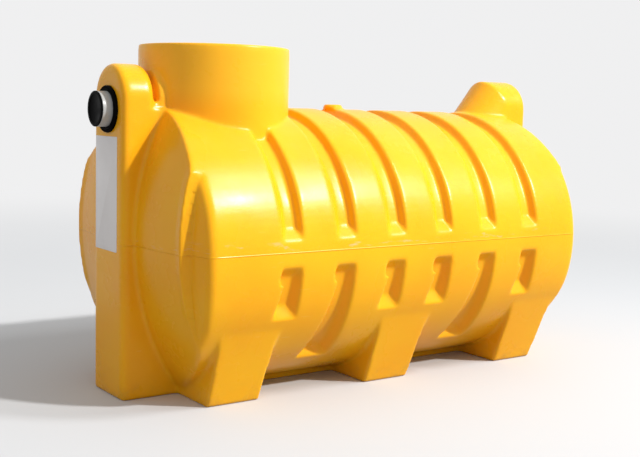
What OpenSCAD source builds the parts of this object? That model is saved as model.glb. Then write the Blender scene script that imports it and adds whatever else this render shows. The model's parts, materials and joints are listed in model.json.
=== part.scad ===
// Horizontal moulded septic tank on six feet, with a manhole neck,
// an inlet head joined to the neck and an outlet hood at the other end.
// X runs along the tank from inlet to outlet, Z is up, the ground is Z = 0.

/* [Barrel] */
// Outside radius of the barrel
barrel_r = 456; // [400:1:515]
// Height of the barrel's underside above the ground
under_z = 8; // [4:1:16]
// Wall thickness of the moulded shell
wall = 8; // [6:1:10]
// Height of the parting line above the barrel's axis
seam_rise = 23; // [15:1:30]
// Radius of the rounding round both ends of the barrel
rim_r = 32; // [20:1:40]

/* [Upper grooves] */
// Number of grooves
groove_count = 6; // [2:1:6]
// Position of the first groove's middle along the tank
groove_x = -464; // [-480:1:-440]
// Distance from one groove to the next
groove_pitch = 203; // [180:1:206]
// Width of a groove at the surface
groove_w = 80; // [60:1:90]
// Depth of a groove
groove_depth = 27; // [20:1:32]
// Run of a groove's soft side, which faces the outlet
groove_soft = 26; // [15:1:32]
// Run of a groove's steep side, which faces the inlet
groove_steep = 11; // [6:1:18]
// Distance from the parting line up to a groove's end
groove_end = 36; // [28:1:60]

/* [Lower slots] */
// Distance from the parting line down to a slot's top
slot_top = 44; // [35:1:55]
// Depth of a slot
slot_depth = 30; // [20:1:34]
// How far a slot's outlet side leans
slot_lean = 24; // [12:1:30]
// Height of a slot's head, above the step in its side
slot_head = 55; // [40:1:70]
// How far the part below the head is narrower on the inlet side
slot_step = 15; // [5:1:25]
// Angle at which a slot widens downwards
slot_flare = 11; // [4:1:14]
// Distance from the barrel's axis down to the end of a slot above a foot
slot_end = 188; // [180:1:200]
// Distance from the barrel's axis down to the end of a slot between feet
long_slot_end = 346; // [300:1:350]
// Slope angle of a slot's lower end
ledge_slope = 73; // [65:1:78]

/* [Ends] */
// Position of the barrel's rim at the inlet end
front_x = -757; // [-770:1:-745]
// Position of the barrel's rim at the outlet end
rear_x = 800; // [790:1:810]
// Half width of the raised middle of both ends
band_w = 372; // [340:1:390]
// How far the raised middle stands out from the rim at the inlet end
front_band = 66; // [58:1:74]
// How far the raised middle stands out from the rim at the outlet end
rear_band = 45; // [38:1:52]
// Height of the foremost line of the raised middles above the barrel's axis
band_rise = 45; // [20:1:60]
// Radius of the raised middles, seen from the side
band_r = 850; // [800:10:1000]
// Radius of the raised middles, seen from above
band_plan_r = 2770; // [2400:10:4000]
// Slope angle of the flanks beside the raised middle at the inlet end
front_slope = 21.8; // [15:0.1:24]
// Slope angle of the flanks beside the raised middle at the outlet end
rear_slope = 12.5; // [8:0.1:15]
// Length of barrel moulded on to the inlet end
front_skirt = 67; // [60:1:75]
// Length of barrel moulded on to the outlet end
rear_skirt = 83; // [75:1:90]

/* [Columns] */
// Distance from the middle of the tank to the face of each column
face_x = 861; // [855:1:870]
// Half width of both columns
column_w = 110; // [104:1:116]
// Thickness of a column's head above the shoulder
head_l = 108; // [98:1:115]
// Height of the middle of a head's round top above the crown
head_rise = 13; // [5:1:25]
// Distance from the crown down to the shoulder behind a head
shoulder_drop = 15; // [10:1:30]
// Radius of the outer edge of a column
column_edge = 20; // [12:1:30]
// Radius of a head's rear edge
head_edge = 25; // [15:1:30]

/* [Outlet hood] */
// Distance from the outlet column's face to the hood's nose on the crown
hood_reach = 248; // [235:1:270]
// Slope angle of the hood's nose
hood_slope = 40; // [35:1:45]

/* [Neck] */
// Position of the neck's edge nearest to the inlet head
neck_edge_x = -734; // [-740:1:-728]
// Outside radius of the neck
neck_r = 246; // [235:1:255]
// Height of the neck's rim above the top of the inlet head
neck_rise = 68; // [30:1:120]
// Radius of the rounding of the neck's rim
neck_edge = 14; // [10:1:16]
// Width of the rim's lip inside the rounding
neck_lip = 6; // [2:1:10]
// How much narrower the collar is than the head, on each side
collar_step = 8; // [4:1:14]
// Gap between the inlet head and the collar
collar_gap = 16; // [8:1:24]
// Half width of the web that bridges the gap
web_w = 64; // [56:1:80]
// Distance from the crown down to the bottom of the way through the web
web_drop = 160; // [130:5:200]

/* [Feet and keel] */
// Position of the first foot's near edge on the ground
foot_x = -667; // [-672:1:-655]
// Distance from one foot to the next
foot_pitch = 609; // [590:1:615]
// Length of a foot on the ground
foot_l = 186; // [150:1:200]
// Distance of a foot's outer edge from the middle of the tank
foot_y = 301; // [280:1:310]
// Lean of a foot's outer face from the vertical
foot_lean = 22; // [19:0.5:23]
// Draft angle of a foot's end faces
foot_draft = 2.5; // [1:0.5:5]
// Distance from the barrel's axis down to the top of a foot inside the barrel
foot_top = 164; // [150:1:175]
// How much narrower the keel is than the columns, on each side
keel_step = 2; // [1:1:10]

/* [Pipes] */
// Outside radius of the pipes
pipe_r = 55; // [50:1:60]
// Wall thickness of the pipes
pipe_wall = 3.2; // [2:0.1:5]
// Distance from the crown down to the inlet pipe's middle
inlet_fall = 18; // [10:1:25]
// How much lower the outlet pipe is than the inlet pipe
outlet_fall = 50; // [40:1:60]
// How far each pipe stands out of its column's face
stub_out = 45; // [30:1:60]
// Width of a seal's lip round the pipe
seal_w = 18; // [13:1:23]
// Thickness of a seal's lip
seal_lip = 10; // [6:1:14]
// Distance from the neck's collar to the inlet tee's socket
inlet_tee_in = 6; // [4:1:20]
// Distance from the outlet column's face to the middle of the outlet tee
outlet_tee_in = 150; // [135:1:160]
// How far the inlet dip tee reaches below the pipe
inlet_dip = 320; // [250:10:450]
// How far the outlet dip tee reaches below the pipe
outlet_dip = 300; // [250:10:450]
// Wall thickness of a tee
tee_wall = 5; // [3:1:6]
// Depth of a tee's socket
tee_socket = 45; // [35:1:50]
// Thickness of the flange of a stub's plug
cap_t = 4; // [2:0.5:6]
// How far a plug reaches into its pipe
plug_l = 22; // [15:1:30]
// Clearance between pieces that slip together
fit_gap = 0.3; // [0.2:0.1:0.5]

/* [Crown boss] */
// Position of the boss along the tank
boss_x = -3; // [-10:1:10]
// Radius of the boss
boss_r = 33; // [25:1:40]
// Height of the boss above the crown
boss_h = 16; // [8:1:25]
// Radius of the rounding of the boss's top
boss_edge = 5; // [2:1:7]
// Radius of the fillet round the foot of the boss
boss_fillet = 8; // [3:1:12]

/* [Hidden] */
$fn = 96;
far = 3 * barrel_r;
axis_z = under_z + barrel_r;
crown_z = axis_z + barrel_r;
seam_z = axis_z + seam_rise;
groove_end_z = seam_z + groove_end;
slot_top_z = seam_z - slot_top;
slot_step_z = slot_top_z - slot_head;
front_split = front_x + front_skirt;
rear_split = rear_x - rear_skirt;
head_z = crown_z + head_rise;
shoulder_z = crown_z - shoulder_drop;
hood_nose_x = face_x - hood_reach;
neck_x = neck_edge_x + neck_r;
web_z = crown_z - web_drop;
neck_top_z = head_z + column_w + neck_rise;
collar_w = column_w - collar_step;
collar_x = head_l + collar_gap - face_x;
keel_w = column_w - keel_step;
keel_h = axis_z + wall - sqrt((barrel_r - wall) * (barrel_r - wall) - keel_w * keel_w);
foot_h = axis_z - foot_top;
inlet_z = crown_z - inlet_fall;
outlet_z = inlet_z - outlet_fall;
tee_stop = pipe_r + 3;
tee_top = pipe_r + tee_wall + 2;
inlet_tee_x = collar_x + wall + inlet_tee_in + tee_socket + tee_stop;
outlet_tee_x = face_x - outlet_tee_in;
seal_edge = seal_lip / 2.5;
sleeve_t = 7;
throat_l = 80;
throat_h = 60;
bead_w = 12;
bead_l = 6;
pipe_grey = [0.62, 0.64, 0.65];
rubber_black = [0.05, 0.05, 0.05];

// ---------- helpers ----------

// A profile of [radius, x] turned about the axis that runs along the tank at height z
module turned(z) translate([0, 0, z]) rotate([0, 90, 0]) rotate_extrude() children();

// A round bar along the tank
module bar_x(x0, x1, r, y = 0, z = 0) translate([x0, y, z]) rotate([0, 90, 0]) cylinder(h = x1 - x0, r = r);

// A [y, z] outline drawn out along the tank
module along_x(x0, x1) translate([x0, 0, 0]) rotate([90, 0, 90]) linear_extrude(x1 - x0) children();

// A [x, z] outline drawn out across the tank
module across_y(y0, y1) translate([0, y1, 0]) rotate([90, 0, 0]) linear_extrude(y1 - y0) children();

function side_y(z, r = barrel_r) = sqrt(r * r - (z - axis_z) * (z - axis_z));

// ---------- the body without its fittings, cut back by t for the inside ----------

// Half outline of a sloping end whose rounded rim reaches back to x = 0
module flank(slope, t) {
  e = rim_r - t;
  r = barrel_r - rim_r + e * sin(slope);
  x = rim_r - e * cos(slope);
  translate([barrel_r - rim_r, rim_r]) circle(e);
  polygon([[0, rim_r], [0, x - r * tan(slope)], [r, x], [r, rim_r]]);
}

module barrel_blank(t) turned(axis_z) {
  translate([0, front_x + rim_r]) square([barrel_r - t, rear_x - front_x - 2 * rim_r]);
  translate([0, front_x]) flank(front_slope, t);
  translate([0, rear_x]) mirror([0, 1]) flank(rear_slope, t);
}

// A wide roll across the tank, slightly barrelled
module band_roll() rotate([90, 0, 0]) rotate_extrude($fn = 720) intersection() {
  translate([band_r - band_plan_r, 0]) circle(band_plan_r, $fn = 720);
  translate([0, -far]) square([band_r + 1, 2 * far]);
}

module body(t) intersection() {
  translate([front_x - front_band + band_r + t, 0, axis_z + band_rise]) band_roll();
  translate([rear_x + rear_band - band_r - t, 0, axis_z + band_rise]) band_roll();
  union() {
    barrel_blank(t);
    intersection() {
      bar_x(-far, far, barrel_r - t, z = axis_z);
      translate([-far, t - band_w, -far]) cube([2 * far, 2 * (band_w - t), 2 * far]);
    }
  }
}

// ---------- grooves and slots, grown by t for the inside ----------

function groove_mid(i) = groove_x + i * groove_pitch;

// One ring groove: a soft slope on the inlet side and a steep wall on the outlet side
module groove_ring(x0, x1, depth, soft, steep, t) {
  r = barrel_r - depth - t;
  turned(axis_z) polygon([
    [barrel_r + 2, x0 - t],
    [r, x0 + soft - t],
    [r, x1 - steep + t],
    [barrel_r + 2, x1 + t]
  ]);
}

// The space above a pair of ramps that climb inwards at 45 degrees from height z
module above_ramps(z, t) {
  y = side_y(z);
  z0 = z - sqrt(2) * t;
  run = 4 * groove_depth;
  along_x(-far, far) polygon([
    [-y - run, z0 - run], [-y + run, z0 + run], [y - run, z0 + run],
    [y + run, z0 - run], [y + run, far], [-y - run, far]
  ]);
}

module upper_grooves(t) intersection() {
  for (i = [0 : groove_count - 1]) {
    x0 = groove_mid(i) - groove_w / 2;
    groove_ring(x0, x0 + groove_w, groove_depth, groove_soft, groove_steep, t);
  }
  above_ramps(groove_end_z, t);
}

// A slot is long where no foot stands under it
function is_long(i) = i % 3 == 1;

// Side view of a slot: a head, a step and a channel that widens downwards
module slot_outline(i, t) {
  x0 = groove_mid(i) - groove_w / 2 - t;
  x1 = groove_mid(i) + groove_w / 2 + t;
  drop = slot_step_z - t;
  across_y(-far, far) polygon([
    [x0, seam_z], [x0, slot_step_z - t], [x0 + slot_step, slot_step_z - t],
    [x0 + slot_step - drop * tan(slot_flare), 0], [x1, 0], [x1, seam_z]
  ]);
}

// The space under the slots' heads, which slope inwards and down at 45 degrees
module below_heads(t) {
  y = side_y(slot_top_z);
  z = slot_top_z + sqrt(2) * t;
  run = 2 * slot_depth;
  along_x(-far, far) polygon([
    [-y - run, z + run], [-y + run, z - run], [y - run, z - run],
    [y + run, z + run], [y + run, -far], [-y - run, -far]
  ]);
}

// The space above a slot's lower end, a steep ramp on each side
module above_ledges(z, t) {
  y = side_y(z);
  z0 = z - t / cos(ledge_slope);
  rise = 2 * slot_depth;
  run = rise / tan(ledge_slope);
  along_x(-far, far) polygon([
    [-far, z0 - rise], [-y - run, z0 - rise], [-y + run, z0 + rise],
    [y - run, z0 + rise], [y + run, z0 - rise], [far, z0 - rise],
    [far, far], [-far, far]
  ]);
}

module lower_slots(t) intersection() {
  union() for (i = [0 : groove_count - 1]) intersection() {
    groove_ring(groove_mid(i) - groove_w, groove_mid(i) + groove_w / 2, slot_depth, 0, slot_lean, t);
    slot_outline(i, t);
    above_ledges(axis_z - (is_long(i) ? long_slot_end : slot_end), t);
  }
  below_heads(t);
}

// ---------- outer and inner forms of the fittings ----------

// Plan of a column's edges: depth from 0 to l, half width w, edges rounded at both ends
module column_plan(l, w, e0, e1) {
  translate([e0, -w]) square([l - e0 - e1, 2 * w]);
  translate([0, -w + e0]) square([l - e1, 2 * w - 2 * e0]);
  translate([e0, -w + e1]) square([l - e0, 2 * w - 2 * e1]);
  for (s = [-1, 1]) {
    translate([e0, s * (w - e0)]) circle(e0);
    translate([l - e1, s * (w - e1)]) circle(e1);
  }
}

// A column with a round top; depth along X from 0 to l, the face at x = 0
module column_form(l, w, e0, e1, z0) {
  translate([0, 0, head_z]) intersection() {
    rotate([0, 90, 0]) rotate_extrude() intersection() {
      rotate(90) mirror([0, 1]) column_plan(l, w, e0, e1);
      square([w + 1, l + 1]);
    }
    translate([-1, -w - 1, 0]) cube([l + 2, 2 * w + 2, w + 2]);
  }
  translate([0, 0, z0]) linear_extrude(head_z - z0) column_plan(l, w, e0, e1);
}

// The way from the keel up into a column's foot, cut back by t
module throat(x, t) translate([x, t - column_w, keel_h]) cube([throat_l, 2 * column_w - 2 * t, throat_h]);
module inlet_throat(t) throat(front_split - wall, t);
module outlet_throat(t) throat(rear_split + wall - throat_l, t);

// The inlet column, cut back by t
module inlet_column_form(t) {
  w = column_w - t;
  mid_x = head_l / 2 - face_x;
  translate([t - face_x, 0, 0]) column_form(head_l - 2 * t, w, column_edge - t, head_edge - t, t);
  translate([mid_x, -w, t]) cube([front_split - mid_x, 2 * w, shoulder_z - 2 * t]);
  inlet_throat(t);
}

// The hood's leaning round nose, as a tilted cylinder that meets the sides flush
module hood_nose(t) {
  r = column_w - t;
  translate([hood_nose_x + (r + t) / cos(hood_slope), 0, crown_z]) rotate([0, hood_slope, 0]) {
    cylinder(h = 2 * far, r = r, center = true);
    translate([0, -r, -far]) cube([far, 2 * r, 2 * far]);
  }
}

// The outlet column, its face towards +X, cut back by t
module outlet_column_form(t) {
  w = column_w - t;
  e = column_edge - t;
  mid_x = face_x - head_l / 2;
  translate([face_x - t, 0, 0]) mirror([1, 0, 0]) column_form(head_l - 2 * t, w, e, 1, t);
  translate([rear_split, -w, t]) cube([mid_x - rear_split, 2 * w, shoulder_z - t]);
  outlet_throat(t);
  intersection() {
    hood_nose(t);
    translate([face_x - t, 0, 0]) mirror([1, 0, 0])
      column_form(hood_reach + column_edge, w, e, 1, crown_z - column_w);
  }
}

module neck_form(r) translate([neck_x, 0, axis_z]) cylinder(h = neck_top_z - axis_z, r = r, $fn = 144);

module neck_tube() translate([neck_x, 0, 0]) rotate_extrude($fn = 144) difference() {
  union() {
    translate([0, axis_z]) square([neck_r, neck_top_z - neck_edge - axis_z]);
    translate([0, axis_z]) square([neck_r - neck_edge, neck_top_z - axis_z]);
    translate([neck_r - neck_edge, neck_top_z - neck_edge]) circle(neck_edge);
  }
  translate([0, axis_z - 1]) square([neck_r - wall, neck_top_z - axis_z - neck_edge]);
  translate([0, axis_z]) square([neck_r - neck_edge - neck_lip, neck_top_z]);
}

// Arched web from the inlet head to the neck
module arch(x0, x1, w) along_x(x0, x1) {
  translate([-w, web_z]) square([2 * w, head_z - web_z]);
  translate([0, head_z]) circle(w);
}

module collar_form(t) {
  arch(collar_x - collar_gap - t, collar_x + t, web_w - t);
  arch(collar_x + t, neck_x, collar_w - t);
}

module keel_form(t) translate([front_split - wall, t - keel_w, t])
  cube([rear_split - front_split + 2 * wall, 2 * keel_w - 2 * t, keel_h - t]);

// One foot: a block with leaning outer face and drafted ends
module foot_form(i, side, t) {
  x0 = foot_x + i * foot_pitch;
  x1 = x0 + foot_l;
  y0 = t - foot_y;
  dy = foot_h * tan(foot_lean);
  dx = foot_h * tan(foot_draft);
  mirror([0, side < 0 ? 0 : 1, 0]) intersection() {
    along_x(-far, far) polygon([[y0, t], [t - keel_w, t], [t - keel_w, foot_h], [y0 - dy, foot_h]]);
    across_y(-far, 0) polygon([[x0 + t, 0], [x1 - t, 0], [x1 - t + dx, foot_h], [x0 + t - dx, foot_h]]);
  }
}

module feet_forms(t) for (i = [0 : 2], side = [-1, 1]) foot_form(i, side, t);

// ---------- pieces of the shell ----------

module shell_yellow() color([0.98, 0.78, 0.14]) children();

module slice_x(x0, x1) translate([x0, -far, -far]) cube([x1 - x0, 2 * far, 2 * far]);
module slice_z(z0, z1) translate([-far, -far, z0]) cube([2 * far, 2 * far, z1 - z0]);

module inside_lower() difference() { body(wall); lower_slots(wall); }
module inside_upper() difference() { body(wall); upper_grooves(wall); }

module barrel_upper() shell_yellow() difference() {
  intersection() {
    body(0);
    slice_x(front_split, rear_split);
    slice_z(seam_z, far);
  }
  upper_grooves(0);
  inside_upper();
  neck_form(neck_r);
  outlet_column_form(0);
}

module barrel_lower() shell_yellow() difference() {
  intersection() {
    body(0);
    slice_x(front_split, rear_split);
    slice_z(0, seam_z);
  }
  lower_slots(0);
  inside_lower();
  keel_form(0);
  feet_forms(0);
  inlet_throat(0);
  outlet_throat(0);
}

module front_end() shell_yellow() difference() {
  intersection() {
    body(0);
    slice_x(-far, front_split);
  }
  body(wall);
  inlet_column_form(0);
  neck_form(neck_r);
  keel_form(0);
  collar_form(wall);
}

module rear_end() shell_yellow() difference() {
  intersection() {
    body(0);
    slice_x(rear_split, far);
  }
  body(wall);
  outlet_column_form(0);
  keel_form(0);
  foot_form(2, -1, 0);
  foot_form(2, 1, 0);
}

module manhole_neck() shell_yellow() difference() {
  neck_tube();
  inside_upper();
  collar_form(wall);
}

module neck_collar() shell_yellow() difference() {
  collar_form(0);
  collar_form(wall);
  body(0);
  neck_form(neck_r);
  inlet_column_form(0);
}

module inlet_column() shell_yellow() difference() {
  inlet_column_form(0);
  inlet_column_form(wall);
  body(wall);
  neck_form(neck_r);
  bar_x(-far, head_l / 2 - face_x, pipe_r + sleeve_t, z = inlet_z);
  arch(head_l / 2 - face_x, 0, web_w - wall);
  keel_form(0);
}

module outlet_column() shell_yellow() difference() {
  outlet_column_form(0);
  outlet_column_form(wall);
  body(wall);
  bar_x(face_x - head_l / 2, far, pipe_r + sleeve_t, z = outlet_z);
  keel_form(0);
}

module keel() shell_yellow() difference() {
  keel_form(0);
  keel_form(wall);
  body(wall);
}

module foot(i, side) shell_yellow() difference() {
  foot_form(i, side, 0);
  difference() {
    foot_form(i, side, wall);
    lower_slots(wall);
  }
  inside_lower();
  lower_slots(0);
  keel_form(0);
}

module foot_front_right() foot(0, -1);
module foot_middle_right() foot(1, -1);
module foot_rear_right() foot(2, -1);
module foot_front_left() foot(0, 1);
module foot_middle_left() foot(1, 1);
module foot_rear_left() foot(2, 1);

// Round boss on the crown, its top edge rounded and its foot filleted
module crown_boss() shell_yellow() difference() {
  translate([boss_x, 0, crown_z - boss_fillet]) rotate_extrude() difference() {
    union() {
      square([boss_r, boss_fillet + boss_h - boss_edge]);
      square([boss_r - boss_edge, boss_fillet + boss_h]);
      translate([boss_r - boss_edge, boss_fillet + boss_h - boss_edge]) circle(boss_edge);
      square([boss_r + boss_fillet, 2 * boss_fillet]);
    }
    translate([boss_r + boss_fillet, 2 * boss_fillet]) circle(boss_fillet);
  }
  bar_x(-far, far, barrel_r, z = axis_z, $fn = 720);
}

// ---------- pipework ----------

// One pipe stub through a column's face, from its open end inwards along +X
module pipe_stub(l) rotate([0, 90, 0]) difference() {
  cylinder(h = l, r = pipe_r);
  translate([0, 0, -1]) cylinder(h = l + 2, r = pipe_r - pipe_wall);
}

// Rubber seal: an outer lip, a sleeve in the hole and a bead behind the wall
module seal() rotate([0, 90, 0]) rotate_extrude() {
  r = pipe_r + fit_gap;
  r1 = pipe_r + seal_w;
  translate([r, -seal_lip]) square([r1 - seal_edge - r, seal_lip]);
  translate([r, seal_edge - seal_lip]) square([r1 - r, seal_lip - seal_edge]);
  translate([r1 - seal_edge, seal_edge - seal_lip]) circle(seal_edge);
  translate([r, -1]) square([sleeve_t - 2 * fit_gap, wall + 2]);
  translate([r, wall]) square([bead_w, bead_l]);
}

// Flanged plug that closes the stub's open end
module cap() rotate([0, 90, 0]) {
  translate([0, 0, -cap_t]) cylinder(h = cap_t, r = pipe_r);
  translate([0, 0, -1]) cylinder(h = plug_l + 1, r = pipe_r - pipe_wall - fit_gap);
}

// Dip tee: a socket along +X, a short top branch and a long drop
module tee(drop) difference() {
  union() {
    bar_x(-tee_stop - tee_socket, 0, pipe_r + tee_wall);
    translate([0, 0, -drop]) cylinder(h = drop + tee_top, r = pipe_r + tee_wall);
  }
  bar_x(-far, -tee_stop, pipe_r + fit_gap);
  bar_x(-far, 0, pipe_r - pipe_wall);
  translate([0, 0, -drop - 1]) cylinder(h = drop + tee_top + 2, r = pipe_r);
}

// One side's pipework: a stub through a column's face at height z, out to the tee's socket
module stub(tee_x) translate([cap_t - stub_out - face_x, 0, 0])
  pipe_stub(stub_out + face_x - cap_t + tee_x - tee_stop);

module inlet_side() translate([0, 0, inlet_z]) children();
module outlet_side() translate([0, 0, outlet_z]) mirror([1, 0, 0]) children();

module inlet_pipe() color(pipe_grey) inlet_side() stub(inlet_tee_x);
module outlet_pipe() color(pipe_grey) outlet_side() stub(-outlet_tee_x);
module inlet_seal() color(rubber_black) inlet_side() translate([-face_x, 0, 0]) seal();
module outlet_seal() color(rubber_black) outlet_side() translate([-face_x, 0, 0]) seal();
module inlet_cap() color(rubber_black) inlet_side() translate([cap_t - stub_out - face_x, 0, 0]) cap();
module outlet_cap() color(rubber_black) outlet_side() translate([cap_t - stub_out - face_x, 0, 0]) cap();
module inlet_tee() color(pipe_grey) inlet_side() translate([inlet_tee_x, 0, 0]) tee(inlet_dip);
module outlet_tee() color(pipe_grey) outlet_side() translate([-outlet_tee_x, 0, 0]) tee(outlet_dip);

barrel_upper();
barrel_lower();
front_end();
rear_end();
manhole_neck();
neck_collar();
inlet_column();
outlet_column();
keel();
foot_front_right();
foot_middle_right();
foot_rear_right();
foot_front_left();
foot_middle_left();
foot_rear_left();
crown_boss();
inlet_pipe();
inlet_seal();
inlet_cap();
inlet_tee();
outlet_pipe();
outlet_seal();
outlet_cap();
outlet_tee();
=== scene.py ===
import json
import math

import bmesh
import bpy
from bpy.props import FloatProperty, FloatVectorProperty, IntProperty, PointerProperty
from mathutils import Matrix, Vector
from mathutils.bvhtree import BVHTree

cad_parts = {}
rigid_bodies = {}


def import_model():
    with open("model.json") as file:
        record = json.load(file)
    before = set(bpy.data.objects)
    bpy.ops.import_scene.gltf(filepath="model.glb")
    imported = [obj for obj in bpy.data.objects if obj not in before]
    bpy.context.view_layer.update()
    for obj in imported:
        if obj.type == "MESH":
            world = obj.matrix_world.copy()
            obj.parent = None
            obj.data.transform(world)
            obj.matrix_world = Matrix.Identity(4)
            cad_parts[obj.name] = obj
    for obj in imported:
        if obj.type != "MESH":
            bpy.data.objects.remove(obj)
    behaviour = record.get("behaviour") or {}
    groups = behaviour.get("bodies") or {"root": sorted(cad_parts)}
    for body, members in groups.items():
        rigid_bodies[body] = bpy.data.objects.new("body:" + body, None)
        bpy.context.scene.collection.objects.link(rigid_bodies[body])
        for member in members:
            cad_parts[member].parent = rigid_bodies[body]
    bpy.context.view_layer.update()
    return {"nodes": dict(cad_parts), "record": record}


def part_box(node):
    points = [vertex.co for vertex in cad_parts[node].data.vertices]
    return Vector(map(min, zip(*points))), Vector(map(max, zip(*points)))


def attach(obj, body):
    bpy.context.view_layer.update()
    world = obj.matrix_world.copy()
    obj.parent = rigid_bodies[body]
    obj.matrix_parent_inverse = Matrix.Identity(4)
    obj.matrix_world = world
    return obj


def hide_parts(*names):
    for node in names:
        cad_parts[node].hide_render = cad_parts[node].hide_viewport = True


bl_info = {
    "name": "Septic tank dresser",
    "version": (1, 0, 0),
    "blender": (4, 5, 0),
    "location": "View3D > Sidebar > Septic tank",
    "description": "Dresses the packed septic tank with its moulded skin, pipework, plate and stage",
    "category": "Object",
}

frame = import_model()
NODES = frame["nodes"]
SHELL_NODES = [s["node"] for s in frame["record"]["subparts"] if s["material_slot"] == "shell"]


# ---------- places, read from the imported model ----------

def box(node):
    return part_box(node)


def middle(node):
    low, high = box(node)
    return (low + high) / 2


NECK_LOW, NECK_HIGH = box("manhole_neck")
NECK_R = (NECK_HIGH.x - NECK_LOW.x) / 2
NECK_MID = Vector(((NECK_LOW.x + NECK_HIGH.x) / 2, 0, 0))
SEAM_Z = box("barrel_upper")[0].z
CROWN_Z = box("barrel_upper")[1].z
INLET_FACE = box("inlet_column")[0].x
OUTLET_FACE = box("outlet_column")[1].x
COLUMN_W = box("inlet_column")[1].y
INLET_Z = middle("inlet_cap").z
OUTLET_Z = middle("outlet_cap").z
PIPE_R = (box("inlet_pipe")[1].y - box("inlet_pipe")[0].y) / 2
BARREL_R = box("barrel_lower")[1].y
AXIS_Z = CROWN_Z - BARREL_R
WALL = 0.008  # thickness of the shell
RIM_EDGE = 0.014  # rounding of the neck's rim
RIDGE_Y = 0.372  # half the width of the raised middle at the inlet end
RIDGE_GAP = 0.003  # how far outside it the crease is drawn
CAMERA_PLACE = (-2.224, -3.047, 0.919)
CAMERA_TURN = (35.58, 6.48, 1.51)  # yaw, downward pitch and roll in degrees
CAMERA_LENS = 59.17


# ---------- sizes and colours ----------

def paint(name, note, default):
    return FloatVectorProperty(
        name=name, description=note, subtype="COLOR", size=3, min=0, max=1, default=default)


def length(name, note, default, **limits):
    return FloatProperty(name=name, description=note, default=default, unit="LENGTH", **limits)


class ShellLook(bpy.types.PropertyGroup):
    voxel: length("Cell size", "Size of the cells the shell is remoulded with", 0.0056, min=0.004, max=0.01)
    rounds: IntProperty(
        name="Softening", description="How often the moulded edges are eased",
        default=4, min=0, max=20)
    colour: paint("Yellow", "Colour of the moulded plastic", (0.94, 0.478, 0.009))
    deep: paint("Deep yellow", "Colour where the plastic is thicker", (0.9, 0.36, 0.007))
    scuff: paint("Scuff", "Colour of rubbed places", (0.85, 0.5, 0.28))
    roughness: FloatProperty(
        name="Roughness", description="Roughness of the plastic",
        default=0.26, min=0, max=1, subtype="FACTOR")


class PipeLook(bpy.types.PropertyGroup):
    grey: paint("Pipe grey", "Colour of the drain pipe", (0.5, 0.52, 0.52))
    rubber: paint("Rubber", "Colour of the seals", (0.003, 0.003, 0.003))
    plug: paint("Plug", "Colour of the plugs", (0.002, 0.002, 0.002))


class PlateSize(bpy.types.PropertyGroup):
    low_y: length("Near edge", "Edge of the plate nearer the front side", -0.066)
    high_y: length("Far edge", "Edge of the plate nearer the back side", 0.09)
    low_z: length("Bottom", "Height of the plate's lower edge", 0.461)
    high_z: length("Top", "Height of the plate's upper edge", 0.818)
    thickness: length("Thickness", "Thickness of the plate", 0.0012)
    colour: paint("White", "Colour of the bare plate", (0.83, 0.82, 0.84))


class StageLook(bpy.types.PropertyGroup):
    floor: paint("Floor", "Colour of the floor as it is seen", (0.6, 0.618, 0.643))
    bounce: paint("Floor bounce", "Colour of the light that the floor throws back", (0.33, 0.315, 0.3))
    backdrop: paint("Backdrop", "Colour behind the tank", (0.87, 0.87, 0.875))
    key: FloatProperty(name="Key light", description="Strength of the main light", default=3.0, min=0)
    softbox: FloatProperty(
        name="Softbox", description="Power of the softbox above the outlet end's near side",
        default=95.0, min=0, unit="POWER")
    sky: FloatProperty(
        name="Sky light", description="Strength of the even light from all round",
        default=0.59, min=0)


# ---------- mesh helpers ----------

def merged_copy(names):
    """A bmesh of these nodes' meshes, with their loose triangles joined up."""
    bm = bmesh.new()
    for name in names:
        bm.from_mesh(NODES[name].data)
    bmesh.ops.remove_doubles(bm, verts=bm.verts, dist=1e-5)
    return bm


def new_piece(name, bm, material, replaces=()):
    """An object made from the bmesh, riding on the tank."""
    mesh = bpy.data.meshes.new(name)
    bm.to_mesh(mesh)
    bm.free()
    return dress_piece(bpy.data.objects.new(name, mesh), material, replaces)


def dress_piece(obj, material, replaces=()):
    if obj.name not in bpy.context.scene.collection.objects:
        bpy.context.scene.collection.objects.link(obj)
    obj.data.materials.clear()
    obj.data.materials.append(material)
    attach(obj, "root")
    if replaces:
        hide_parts(*replaces)
    return obj


def evaluated_mesh(obj):
    depsgraph = bpy.context.evaluated_depsgraph_get()
    return bpy.data.meshes.new_from_object(obj.evaluated_get(depsgraph))


def modified(mesh, kind, **settings):
    """The mesh with one modifier applied."""
    obj = bpy.data.objects.new("working", mesh)
    bpy.context.scene.collection.objects.link(obj)
    modifier = obj.modifiers.new(kind.lower(), kind)
    for key, value in settings.items():
        setattr(modifier, key, value)
    result = evaluated_mesh(obj)
    bpy.data.objects.remove(obj)
    return result


def reach(co):
    """Distance from the barrel's axis."""
    return math.hypot(co.y, co.z - AXIS_Z)


def true_up(bm):
    """Splits the slanted edges that cut under the barrel's round surface and lifts them on to it."""
    low = []
    for edge in bm.edges:
        ends = [v.co for v in edge.verts]
        on_barrel = all(abs(reach(co) - BARREL_R) < 0.0003 for co in ends)
        if on_barrel and reach((ends[0] + ends[1]) / 2) < BARREL_R - 0.0005:
            low.append(edge)
    made = bmesh.ops.subdivide_edges(bm, edges=low, cuts=16)["geom_inner"]
    for vert in [g for g in made if isinstance(g, bmesh.types.BMVert)]:
        grow = BARREL_R / reach(vert.co)
        vert.co.y *= grow
        vert.co.z = AXIS_Z + (vert.co.z - AXIS_Z) * grow


def faded(value, low, high, low_fade, high_fade):
    """1 between low and high, running out to 0 at both over the fades' lengths."""
    return min(1.0, (value - low) / low_fade, (high - value) / high_fade)


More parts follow.
